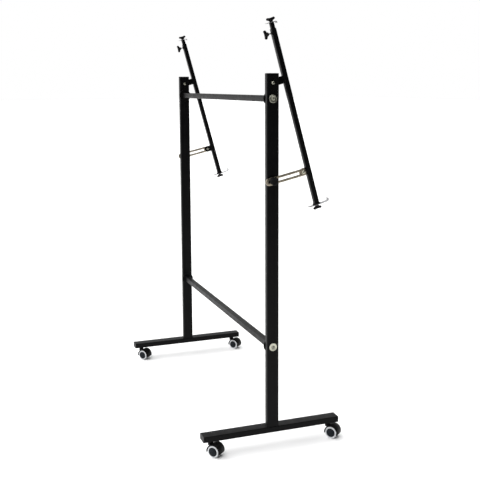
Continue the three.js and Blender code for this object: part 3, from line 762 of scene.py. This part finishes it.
def upright_cap(top):
    """Skin over the tube's end with a slightly raised middle, and its plug."""
    skin = box_plate(UPRIGHT_WIDTH, UPRIGHT_DEPTH, TUBE_CORNER, 1.4, 0.65)
    rise = box_plate(UPRIGHT_WIDTH - 5, UPRIGHT_DEPTH - 5, 2.5, 0.8, 0.35)
    plug = cap_plug(UPRIGHT_WIDTH, UPRIGHT_DEPTH, top - 6, top + 1)
    return joined([lifted(skin, top + 1.0), lifted(rise, top + 1.6), plug])


def foot(name, paint):
    """Tube along y with two holes below for the casters' stems."""
    low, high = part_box(f"foot_{name}")
    here = frame_at((low + high) / 2, (0, 1, 0), (0, 0, 1))
    half = FOOT_LENGTH / 2
    tube = hollow_bar(FOOT_WIDTH, FOOT_HEIGHT, TUBE_WALL, TUBE_CORNER, -half, half)
    holes = [wall_cutter(STEM_HOLE, FOOT_HEIGHT, lift(y) @ Z_TO_MINUS_Y)
             for y in (-CASTER_Y, CASTER_Y)]
    add_piece(f"foot_{name}_tube", boolean(tube, holes), here, "frame", paint, f"foot_{name}")


def foot_caps(name, finish):
    for end, direction in ENDS:
        node = f"foot_cap_{name}_{end}"
        low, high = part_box(node)
        centre = (low + high) / 2
        face = high.y if direction > 0 else low.y
        here = frame_at((centre.x, face, centre.z), (0, direction, 0), (0, 0, 1))
        add_piece(f"{node}_moulding", foot_cap(), here, "frame", finish, node)


def foot_cap():
    """Rim round a sunk panel, and its plug; the outer face is at z = 0."""
    rim_thickness = 1.7
    rim = plate([rounded_box(FOOT_WIDTH, FOOT_HEIGHT, TUBE_CORNER),
                 rounded_box(FOOT_WIDTH - 7, FOOT_HEIGHT - 7, 2)], rim_thickness, 0.6)
    panel = box_plate(FOOT_WIDTH - 4, FOOT_HEIGHT - 4, 2, 0.8, 0.2)
    plug = cap_plug(FOOT_WIDTH, FOOT_HEIGHT, -15, -1)
    return joined([lifted(rim, -rim_thickness / 2), lifted(panel, -1.2), plug])


# ---- Crossbars ----

def crossbars(paint, champagne, screw_zinc):
    for level in ("upper", "lower"):
        low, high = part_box(f"crossbar_{level}")
        half = (high.x - low.x) / 2 / MM
        here = frame_at((low + high) / 2, (1, 0, 0), (0, 0, 1))
        add_piece(f"crossbar_{level}_bar", flanged_bar(half), here, "frame", paint,
                  f"crossbar_{level}")
        for end, direction in SIDES:
            z = direction * (half - FLANGE_THICKNESS - WELD_UP)
            add_piece(f"crossbar_weld_{level}_{end}", bar_weld(z), here, "frame", paint,
                      sharp=WELD_SHARP)
            crossbar_fastener(level, end, direction, champagne, screw_zinc)


def flanged_bar(half):
    bar = hollow_bar(BAR_SIZE, BAR_SIZE, TUBE_WALL, BAR_CORNER, 1 - half, half - 1)
    flanges = [lifted(disc(FLANGE_RADIUS, 0, FLANGE_THICKNESS, FLANGE_CHAMFER), z)
               for z in (-half, half - FLANGE_THICKNESS)]
    return joined([bar, *flanges])


def bar_weld(z):
    """Bead round a crossbar where it meets its flange."""
    size = BAR_SIZE + 2 * WELD_OUT
    path = [(x, y, z) for x, y in rounded_box(size, size, BAR_CORNER + WELD_CORNER)]
    return bead(spaced(path), BAR_WELD)


def crossbar_fastener(level, end, direction, champagne, screw_zinc):
    node = f"crossbar_washer_{level}_{end}"
    low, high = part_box(node)
    centre = (low + high) / 2
    inner = low.x if direction > 0 else high.x
    here = frame_at((inner, centre.y, centre.z), (direction, 0, 0), (0, 0, 1))
    add_piece(f"{node}_ring", washer(), here, "frame", champagne, node)
    add_piece(f"crossbar_screw_{level}_{end}_head", screw_head(), here, "frame", screw_zinc,
              f"crossbar_screw_{level}_{end}", sharp=30)


def washer():
    """Punched washer from z = 0, with one rim rolled over more than the other."""
    hole, rim, top = WASHER_HOLE, WASHER_RADIUS, WASHER_THICKNESS
    return lathe([(hole, 0.2), (hole, top - 0.2), (hole + 0.3, top), (rim - 0.7, top),
                  (rim, top - 0.5), (rim, 0.3), (rim - 0.3, 0), (hole + 0.3, 0), (hole, 0.2)])


def screw_head():
    """Button head with a hexagon socket, seated just off the washer."""
    seat = WASHER_THICKNESS + PLAY
    rim, top = SCREW_RADIUS, seat + SCREW_HEIGHT
    dome = [(rim * math.cos(a) * 0.98, seat + SCREW_HEIGHT * math.sin(a))
            for a in map(math.radians, range(12, 61, 12))]
    head = [(0, seat), (rim - 0.4, seat), (rim, seat + 0.4), (rim, seat + 0.9), *dome, (0, top)]
    socket = lifted(plate_cutter(polygon(0, 0, SOCKET_RADIUS, 6), 6), top + 0.4)
    return boolean(lathe(head, 48), [socket])


# ---- Arms ----

def arm_place(name):
    """Matrix of an arm's own millimetres, with z up the arm and y to the rear."""
    up = Vector(JOINTS[f"extension_slide_{name}"]["axis"])
    rear = Vector(JOINTS[f"lock_turn_{name}"]["axis"])
    pin = Vector(JOINTS[f"tilt_{name}"]["pos_m"])
    return frame_at(pin - rear * HINGE_Y * MM - up * HINGE_Z * MM, up, rear)


def arm_tube(name, here, paint):
    tube = hollow_bar(ARM_SIZE, ARM_SIZE, TUBE_WALL, ARM_CORNER, ARM_BOTTOM, ARM_TOP)
    tube = boolean(tube, [wall_cutter(STUD_HOLE, ARM_SIZE, lift(LOCK_Z) @ Z_TO_Y)])
    add_piece(f"arm_tube_{name}_tube", tube, here, f"arm_{name}", paint, f"arm_tube_{name}")


def lug(pin_y):
    """Welded lug, flat across x, that reaches along y from the arm to a pin's place."""
    root = ARM_SIZE / 2 - 0.5
    outline = [(root, -LUG_RADIUS), *arc(pin_y, 0, LUG_RADIUS, -90, 90, 20), (root, LUG_RADIUS)]
    hole = polygon(pin_y, 0, PIN_HOLE, 24)
    return moved(plate([outline, hole], LUG_THICKNESS, 0.45), PLATE_ON_EDGE)


def lug_weld(x, z):
    """Open bead down one side of a lug where it meets the arm."""
    y = ARM_SIZE / 2 + 0.5
    half = LUG_RADIUS - 1
    return bead(spaced([(x, y, z - half), (x, y, z + half)], closed=False), LUG_WELD,
                closed=False)


def arm_lugs(name, side, here, paint):
    """The hinge's lug in the middle of the arm, the stay's lug outboard, and their welds."""
    body = f"arm_{name}"
    add_piece(f"hinge_lug_{name}", lifted(lug(HINGE_Y), HINGE_Z), here, body, paint)
    stay_x = side * (ARM_SIZE - LUG_THICKNESS) / 2
    stay_lug = moved(lug(STAY_PIVOT_Y), Matrix.Translation((stay_x, 0, STAY_PIVOT_Z)))
    add_piece(f"stay_lug_{name}", stay_lug, here, body, paint)
    out = LUG_THICKNESS / 2 + WELD_UP
    welds = [lug_weld(out, HINGE_Z), lug_weld(-out, HINGE_Z),
             lug_weld(stay_x - side * out, STAY_PIVOT_Z)]
    add_piece(f"lug_welds_{name}", joined(welds), here, body, paint, sharp=WELD_SHARP)


def lock_boss(name, here, paint):
    """Ring round the hole of the extension's lock."""
    hole, rim, top, chamfer = STUD_HOLE, BOSS_RADIUS, BOSS_HEIGHT, 0.4
    ring = lathe([(hole, 0), (rim - chamfer, 0), (rim, chamfer), (rim, top - chamfer),
                  (rim - chamfer, top), (hole + chamfer, top), (hole, top - chamfer),
                  (hole, 0)], 40)
    place = Matrix.Translation((0, ARM_SIZE / 2, LOCK_Z)) @ Z_TO_Y
    add_piece(f"lock_boss_{name}", moved(ring, place), here, f"arm_{name}", paint)


def arm_extension(name, here, paint):
    """Inner tube, closed on top by a block that the hook's stud screws into."""
    tube = hollow_bar(EXTENSION_SIZE, EXTENSION_SIZE, TUBE_WALL, ARM_CORNER, EXTENSION_BOTTOM,
                      EXTENSION_TOP)
    size, length = EXTENSION_PLUG_SIZE, EXTENSION_PLUG_LENGTH
    block = lifted(box_plate(size, size, 0.8, length, 0.3), EXTENSION_TOP - 0.4 - length / 2)
    hole = cylinder(STUD_HOLE, EXTENSION_TOP - length - 2, EXTENSION_TOP + 1)
    add_piece(f"arm_extension_{name}_tube", joined([tube, boolean(block, [hole])]), here,
              f"extension_{name}", paint, f"arm_extension_{name}")


def arm_plug(name, here, plastic):
    """Flanged plug below the arm, with a hole for the bottom hook's stud."""
    top = ARM_BOTTOM - PLAY
    rim, under = ARM_PLUG_RADIUS, top - ARM_PLUG_FLANGE
    flange = lathe(soften([(0, top + 0.1), (rim, top + 0.1, 1.2), (rim, under, 1.2),
                           (0, under)]), 48)
    size, length = ARM_PLUG_SIZE, ARM_PLUG_LENGTH
    plug = lifted(box_plate(size, size, 1, length, 0.3), top + length / 2 - 1)
    parts = [boolean(part, [cylinder(STUD_HOLE, under - 2, top + length + 1)])
             for part in (flange, plug)]
    add_piece(f"arm_plug_{name}_moulding", joined(parts), here, f"arm_{name}", plastic,
              f"arm_plug_{name}")


# ---- Hooks and knobs ----

def strip_outline(points, thickness):
    """Outline of a bent strip of even thickness along a centreline."""
    line = [Vector(p) for p in points]
    left, right = [], []
    for i, point in enumerate(line):
        along = (line[min(i + 1, len(line) - 1)] - line[max(i - 1, 0)]).normalized()
        out = Vector((-along.y, along.x)) * thickness / 2
        left.append(tuple(point + out))
        right.append(tuple(point - out))
    return right + left[::-1]


def hook(centreline, travel):
    """Bent strip with a slot along y that lets it slide by the travel either way."""
    strip = plate([strip_outline(centreline, HOOK_THICKNESS)], HOOK_WIDTH, 0.35)
    return boolean(moved(strip, PLATE_ON_EDGE),
                   [plate_cutter(slot(-travel, travel, STUD_HOLE), 8)])


def hooks(name, here, bright):
    curl = arc(CURL_Y, CURL_RADIUS, CURL_RADIUS, 170, 270, 14)
    bottom = [(-51.2, 12.5), *curl, (0, 0), (28, 0), (31, 0.2), (34, 0.8), (38, 2.4)]
    add_piece(f"bottom_hook_{name}_strip", hook(bottom, BOTTOM_HOOK_TRAVEL),
              here @ lift(BOTTOM_HOOK_Z), f"bottom_hook_{name}", bright, f"bottom_hook_{name}",
              sharp=50)
    bend = arc(LIP_Y + LIP_BEND, -LIP_BEND, LIP_BEND, 180, 90, 10)
    top = [(LIP_Y, -7.5), *bend, (0, 0), (23, 0)]
    add_piece(f"top_hook_{name}_strip", hook(top, TOP_HOOK_TRAVEL), here @ lift(TOP_HOOK_Z),
              f"top_hook_{name}", bright, f"top_hook_{name}", sharp=50)


def wing_knob():
    """Moulded wing knob: the axis is z, the wings lie along y, the base is at z = 0."""
    lobe_y, lobe_z, lobe_radius = 12.3, 12.2, 5.2
    waist, dip_z = 6, 15.9
    lobe = arc(lobe_y, lobe_z, lobe_radius, -35, 125, 16)
    other = [(-y, z) for y, z in reversed(lobe)]
    dip = [(y, dip_z + 0.01 * y * y) for y in (waist, waist / 2, 0, -waist / 2, -waist)]
    outline = [(waist, 0.6), (waist + 0.2, 4), *lobe, *dip, *other, (-waist - 0.2, 4),
               (-waist, 0.6)]
    wings = moved(plate([outline], 9.4, 1.4), PLATE_ON_EDGE)
    hub = lathe(soften([(0, 0), (7.7, 0, 0.6), (7.2, 8, 2), (5, 13, 1), (0, 13)]), 40)
    return moulded([wings, hub], 0.55, 2)


def threaded_stud(low, high):
    root = STUD_RADIUS * 0.86
    turns = int((high - low) / THREAD_PITCH)
    profile = [(0, low)]
    for i in range(turns):
        z = low + i * THREAD_PITCH
        profile += [(root, z), (STUD_RADIUS, z + THREAD_PITCH / 2)]
    profile += [(root, low + turns * THREAD_PITCH), (0, high)]
    return lathe(profile, 24)


def knobs(name, here, plastic, steel):
    shape = wing_knob()
    top = lift(TOP_HOOK_Z + KNOB_GAP)
    bottom = lift(BOTTOM_HOOK_Z - KNOB_GAP) @ Z_TO_MINUS_Z
    lock = Matrix.Translation((0, LOCK_KNOB_Y, LOCK_Z)) @ Z_TO_Y
    for node, body, place, length in (("top_hook_knob", "top_knob", top, HOOK_STUD_LENGTH),
                                      ("bottom_hook_knob", "bottom_knob", bottom, HOOK_STUD_LENGTH),
                                      ("extension_knob", "extension_lock", lock, LOCK_STUD_LENGTH)):
        add_piece(f"{node}_{name}_moulding", shape.copy(), here @ place, f"{body}_{name}",
                  plastic, f"{node}_{name}", sharp=180)
        add_piece(f"{node}_stud_{name}", threaded_stud(-length, 0.5), here @ place,
                  f"{body}_{name}", steel, sharp=60)


# ---- Pins and stays ----

def hinge_pin(name, side, here, champagne):
    """Pin across the upright with a domed head outboard and a riveted collar inboard."""
    face = UPRIGHT_WIDTH / 2 + PLAY
    shank = RIVET_RADIUS
    head = soften([(0, face), (5.9, face, 0.3), (6, face + 1.6, 0.8), (4.6, face + 3.4, 1.2),
                   (0, face + 4)])
    pin = [(0, -face - 2), (4.2, -face - 2), (5.5, -face - 1.2), (5.5, -face), (shank, -face),
           (shank, face), (0, face)]
    place = here @ Matrix.Translation((0, HINGE_Y, HINGE_Z)) @ facing(side)
    add_piece(f"hinge_pin_{name}_rivet", joined([lathe(head, 40), lathe(pin, 40)]), place,
              "frame", champagne, f"hinge_pin_{name}")


def stay_rivet(name, side, here, champagne):
    """Rivet through the lug and the stay, with a collar either side of the lug."""
    lug_inner = ARM_SIZE / 2 - LUG_THICKNESS - PLAY
    lug_outer = ARM_SIZE / 2 + PLAY
    stay_inner = STAY_INNER - PLAY
    face = STAY_OUTER + PLAY
    shank = RIVET_RADIUS
    pin = [(0, lug_inner - 2), (5.5, lug_inner - 2), (6.5, lug_inner), (shank, lug_inner),
           (shank, lug_outer), (7, lug_outer), (7, stay_inner), (shank, stay_inner),
           (shank, face - 0.1), (0, face - 0.1)]
    head = soften([(0, face), (6.9, face, 0.3), (7, face + 1.5, 1), (5, face + 3.2, 1.5),
                   (0, face + 3.8)])
    place = here @ Matrix.Translation((0, STAY_PIVOT_Y, STAY_PIVOT_Z)) @ facing(side)
    add_piece(f"stay_rivet_{name}_rivet", joined([lathe(head, 40), lathe(pin, 40)]), place,
              f"arm_{name}", champagne, f"stay_rivet_{name}")


def stay_bar(name, side, brown):
    """Slotted bar from its pivot on the arm towards the clamp's stud on the upright."""
    pivot = Vector(JOINTS[f"stay_swing_{name}"]["pos_m"])
    stud = Vector(JOINTS[f"clamp_turn_{name}"]["pos_m"])
    outward = Vector((side, 0, 0))
    middle = STAY_INNER + STAY_THICKNESS / 2
    here = frame_at(pivot + outward * middle * MM, outward, stud - pivot)
    half = STAY_WIDTH / 2
    x, y = half - STAY_CORNER, STAY_CORNER - STAY_NOSE
    bar = (arc(-x, y, STAY_CORNER, 180, 270, 6) + arc(x, y, STAY_CORNER, 270, 360, 6)
           + arc(0, STAY_LENGTH, half, 0, 180, 28))
    stud_slot = slot(STAY_SLOT_START, STAY_LENGTH, STAY_SLOT_WIDTH / 2, 14)
    pin_hole = polygon(0, 0, PIN_HOLE, 24)
    add_piece(f"stay_{name}_bar", plate([bar, stud_slot, pin_hole], STAY_THICKNESS, 0.35), here,
              f"stay_{name}", brown, f"stay_{name}")


def stay_clamp(name, side, plastic, steel):
    """Round fluted knob with its stud, outboard of the stay."""
    stud = JOINTS[f"clamp_turn_{name}"]["pos_m"]
    here = frame_at(stud, (side, 0, 0), (0, 0, 1))
    seat = STAY_OUTER + PLAY
    face = seat + STAY_KNOB_HEIGHT
    profile = soften([(0, seat), (9, seat, 0.4), (8, seat + 3, 1), (15, seat + 5.5, 1.5),
                      (17, seat + 8, 1), (17, face - 2, 1.8), (12, face - 0.1, 2.5),
                      (10, face - 1.2, 0.5), (0, face - 1.2)], steps=5)
    knob = lathe(profile, 144, flutes=FLUTES, flute_depth=FLUTE_DEPTH)
    add_piece(f"stay_knob_{name}_moulding", knob, here, f"stay_clamp_{name}", plastic,
              f"stay_knob_{name}", sharp=50)
    add_piece(f"stay_stud_{name}", threaded_stud(-4, seat + 0.5), here, f"stay_clamp_{name}",
              steel, sharp=60)


# ---- Casters ----

def caster_hood():
    """Curved roof over both wheels."""
    half, inner, outer = HOOD_HALF_WIDTH, HOOD_INNER, HOOD_OUTER
    rim = [(inner, 1 - half), (inner + 0.6, -half), (outer - 0.8, -half), (outer, 1 - half),
           (outer, half - 1), (outer - 0.8, half), (inner + 0.6, half), (inner, half - 1),
           (inner, 1 - half)]
    return lathe(rim, 48, HOOD_START, HOOD_END)


def caster_web():
    """Wall between the wheels: a sector of a disc, within the hood."""
    outline = [*arc(0, 0, WEB_RADIUS, HOOD_START + 1, HOOD_END - 1, 40), (0, 0)]
    return plate([outline], WEB_THICKNESS, 0.4)


def caster_housing():
    """Hood, web, neck and stem; the axle is the z axis, trailing is +x, up is +y."""
    half_web = WEB_THICKNESS / 2
    web_disc = disc(WEB_DISC_RADIUS, -half_web, half_web, 0.4, 48)
    above_floor = Matrix.Translation((-TRAIL, -WHEEL_RADIUS, 0)) @ Z_TO_Y
    neck_top = FOOT_TOP - FOOT_HEIGHT - PLAY
    neck = lathe(soften([(0, 42), (12, 44, 2), (11, 56, 2), (9.5, neck_top - 2.2, 0.5),
                         (9.5, neck_top), (0, neck_top)]), 40)
    wheel_room = cylinder(WEB_RADIUS, -30, 30, 64)
    neck = boolean(moved(neck, above_floor), [wheel_room])
    stem = lathe([(0, 58), (STEM_RADIUS, 58), (STEM_RADIUS, 84), (STEM_RADIUS - 1, 85),
                  (0, 85)], 32)
    return boolean(caster_hood(), [caster_web(), web_disc, neck, moved(stem, above_floor)],
                   "UNION")


def tyre():
    """Tread with a moulding line round its middle."""
    profile = soften([(HUB_RADIUS - 3, 4.9), (WHEEL_RADIUS - 1.4, 4.7, 0.5),
                      (WHEEL_RADIUS, 7, 1), (WHEEL_RADIUS, 13.4), (WHEEL_RADIUS - 0.15, 13.6),
                      (WHEEL_RADIUS, 13.8), (WHEEL_RADIUS, WHEEL_FACE - 2.6, 2),
                      (WHEEL_RADIUS - 2.4, WHEEL_FACE, 1.4), (HUB_RADIUS, WHEEL_FACE, 0.3),
                      (HUB_RADIUS - 0.6, WHEEL_FACE - 1.4), (HUB_RADIUS - 3, WHEEL_FACE - 1.4)])
    return lathe([*profile, profile[0]], 96)


def hub():
    """Hub cover with a ring groove and a domed middle, and the bore for the axle behind it."""
    dome = [(HUB_RADIUS - 0.5, WHEEL_FACE - 1), (HUB_RADIUS - 0.5, WHEEL_FACE + 0.6, 0.8),
            (14.5, HUB_DOME - 1.8, 2), (13.6, HUB_DOME - 2.2, 0.2), (12.6, HUB_DOME - 1.5, 0.3),
            (6.4, HUB_DOME - 0.5, 0.4), (5.9, HUB_DOME - 1.0, 0.1), (5.2, HUB_DOME - 0.2, 0.5),
            (0, HUB_DOME)]
    axle_hole = AXLE_RADIUS + PLAY
    profile = [(0, 21), (axle_hole, 21), (axle_hole, 4.6), (7, 4.6), (7, 6),
               (HUB_RADIUS - 3.2, 6), (HUB_RADIUS - 3.2, WHEEL_FACE - 1), *soften(dome)]
    return lathe(profile, 72)


def casters(plastic, hub_plastic, tyre_finish, steel):
    housing, ring, cover = caster_housing(), tyre(), hub()
    for name, _ in SIDES:
        for end, _ in ENDS:
            key = f"{name}_{end}"
            spin = JOINTS[f"wheel_spin_a_{key}"]
            place, axle = spin["pos_m"], Vector(spin["axis"])
            here = frame_at(place, -axle, (0, 0, 1))
            add_piece(f"caster_body_{key}_moulding", housing.copy(), here, f"caster_{key}",
                      plastic, f"caster_body_{key}", sharp=40)
            pin = disc(AXLE_RADIUS, -AXLE_HALF_LENGTH, AXLE_HALF_LENGTH, 0.8, 32)
            add_piece(f"caster_axle_{key}_pin", pin, here, f"caster_{key}", steel,
                      f"caster_axle_{key}")
            for wheel, direction in (("a", 1), ("b", -1)):
                here = frame_at(place, axle * direction, (0, 0, 1))
                node = f"caster_wheel_{wheel}_{key}"
                body = f"wheel_{wheel}_{key}"
                add_piece(f"{node}_tyre", ring.copy(), here, body, tyre_finish, node, sharp=45)
                add_piece(f"{node}_hub", cover.copy(), here, body, hub_plastic, sharp=40)


# ---- Studio ----

def soft_light(name, toward, spread, strength):
    """Wide even light that comes from a direction, over a spread in degrees."""
    data = bpy.data.lights.new(name, "SUN")
    data.angle = math.radians(spread)
    data.energy = strength
    light = bpy.data.objects.new(name, data)
    light.rotation_mode = "QUATERNION"
    light.rotation_quaternion = Vector(toward).to_track_quat("Z", "Y")
    bpy.context.scene.collection.objects.link(light)


def studio_floor():
    bm = bmesh.new()
    bmesh.ops.create_grid(bm, x_segments=8, y_segments=8, size=FLOOR_HALF_SIZE)
    bm.transform(Matrix.Translation((FLOOR_HALF_SIZE - FLOOR_NEAR_END, 0, 0)))
    mesh = mesh_from(bm)
    mesh.materials.append(floor_finish())
    floor = bpy.data.objects.new("studio_floor", mesh)
    bpy.context.scene.collection.objects.link(floor)


def studio_world():
    """Soft glow from the far side, +x; where the camera sees it directly it is plain white."""
    world = bpy.data.worlds.new("studio")
    world.use_nodes = True
    bpy.context.scene.world = world
    nodes, links = world.node_tree.nodes, world.node_tree.links
    glow = nodes["Background"]
    glow.inputs["Color"].default_value = (1, 1, 1, 1)
    direction = nodes.new("ShaderNodeTexCoord").outputs["Generated"]
    split = nodes.new("ShaderNodeSeparateXYZ")
    links.new(direction, split.inputs["Vector"])
    fade = nodes.new("ShaderNodeMapRange")
    fade.interpolation_type = "SMOOTHSTEP"
    fade.inputs["From Min"].default_value, fade.inputs["From Max"].default_value = GLOW_DIRECTIONS
    fade.inputs["To Min"].default_value, fade.inputs["To Max"].default_value = GLOW_STRENGTHS
    links.new(split.outputs["X"], fade.inputs["Value"])
    links.new(fade.outputs["Result"], glow.inputs["Strength"])
    seen = nodes.new("ShaderNodeBackground")
    seen.inputs["Color"].default_value = (1, 1, 1, 1)
    seen.inputs["Strength"].default_value = 1.0
    path = nodes.new("ShaderNodeLightPath")
    mixer = nodes.new("ShaderNodeMixShader")
    links.new(path.outputs["Is Camera Ray"], mixer.inputs["Fac"])
    links.new(glow.outputs["Background"], mixer.inputs[1])
    links.new(seen.outputs["Background"], mixer.inputs[2])
    links.new(mixer.outputs["Shader"], nodes["World Output"].inputs["Surface"])


def studio():
    studio_floor()
    studio_world()
    soft_light("overhead", LIGHT_TOWARD, LIGHT_SPREAD_DEGREES, LIGHT_STRENGTH)
    bpy.context.scene.view_settings.view_transform = "Standard"


def make_stand():
    paint = powder_coat()
    champagne = zinc("zinc_champagne", CHAMPAGNE)
    screw_zinc = zinc("zinc_screw", SCREW_GREY)
    brown = zinc("zinc_brown", STAY_BROWN)
    bright = zinc("zinc_bright", HOOK_GREY)
    steel = zinc("zinc_thread", THREAD_GREY, 400)
    plastic = moulded_plastic("black_plastic", PLASTIC_BLACK)
    # Lighter copy of the black plastic for the foot caps: painted light, not a plastic of its own.
    grey = moulded_plastic("painted_lit_plastic", LIT_PLASTIC)
    hub_plastic = moulded_plastic("hub_plastic", HUB_BLACK, 0.4)
    side_frames(paint, plastic, grey)
    crossbars(paint, champagne, screw_zinc)
    for name, side in SIDES:
        here = arm_place(name)
        arm_tube(name, here, paint)
        arm_lugs(name, side, here, paint)
        lock_boss(name, here, paint)
        arm_extension(name, here, paint)
        arm_plug(name, here, plastic)
        hooks(name, here, bright)
        knobs(name, here, plastic, steel)
        hinge_pin(name, side, here, champagne)
        stay_rivet(name, side, here, champagne)
        stay_bar(name, side, brown)
        stay_clamp(name, side, plastic, steel)
    casters(plastic, hub_plastic, tyre_grey(), steel)


make_camera()
make_stand()
studio()
